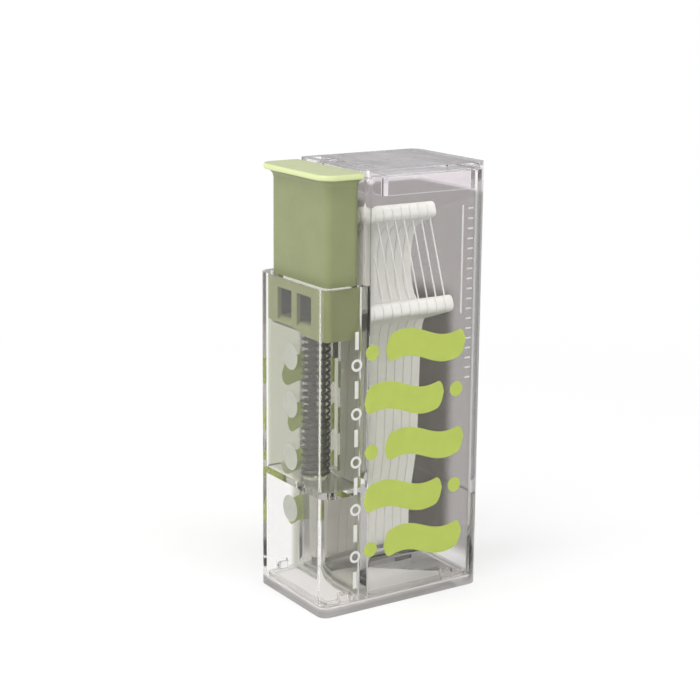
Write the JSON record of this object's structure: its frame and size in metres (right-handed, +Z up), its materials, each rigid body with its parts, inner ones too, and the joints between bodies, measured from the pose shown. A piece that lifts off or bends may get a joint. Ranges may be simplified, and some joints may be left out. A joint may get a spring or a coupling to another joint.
{
  "type": "floss pick dispenser",
  "caption": "Clear upright box with a row of floss picks and a sprung green press button that lifts one pick out through a slot in the lid; the base cover pulls off to refill",
  "frame": {"origin": "middle of the box's footprint, on the ground", "axes": "X runs along the wide front from the button side to the lid side, Y from front to back, Z up"},
  "size_m": [0.0368, 0.0238, 0.085],
  "materials": {
    "clear_shell": "clear, polished",
    "green_plastic": "satin sage green",
    "white_plastic": "satin off-white",
    "pick_plastic": "satin warm white",
    "spring_steel": "drawn wire, dark",
    "floss": "fine white strand"
  },
  "bodies": {
    "case": {"outer_case": "clear_shell", "top_lid": "clear_shell", "floss_pick_02": "pick_plastic", "floss_pick_03": "pick_plastic", "floss_pick_04": "pick_plastic", "floss_pick_05": "pick_plastic", "floss_pick_06": "pick_plastic", "floss_pick_07": "pick_plastic", "floss_pick_08": "pick_plastic", "floss_pick_09": "pick_plastic", "floss_pick_10": "pick_plastic", "floss_thread_02": "floss", "floss_thread_03": "floss", "floss_thread_04": "floss", "floss_thread_05": "floss", "floss_thread_06": "floss", "floss_thread_07": "floss", "floss_thread_08": "floss", "floss_thread_09": "floss", "floss_thread_10": "floss"},
    "base": {"base_cover": "clear_shell"},
    "button": {"press_button": "green_plastic", "slider_block": "green_plastic", "return_spring": "spring_steel"},
    "pawl": {"lift_pawl": "white_plastic"},
    "first_pick": {"floss_pick_01": "pick_plastic", "floss_thread_01": "floss"}
  },
  "joints": [
    {"name": "button_press", "type": "slide", "parent": "case", "child": "button", "axis": [0, 0, -1], "range_m": [0, 0.018], "stiffness_N_per_m": 100, "springref_m": -0.005, "deforming": ["return_spring"]},
    {"name": "pawl_swing", "type": "hinge", "parent": "button", "child": "pawl", "pos_m": [-0.01025, 0, 0.06405], "axis": [0, 1, 0], "range_deg": [0, 12], "stiffness_Nm_per_rad": 0.002},
    {"name": "pick_lift", "type": "slide", "parent": "case", "child": "first_pick", "axis": [0, 0, 1], "range_m": [0, 0.018]},
    {"name": "base_cover_pull", "type": "slide", "parent": "case", "child": "base", "axis": [0, 0, -1], "range_m": [0, 0.02]}
  ]
}
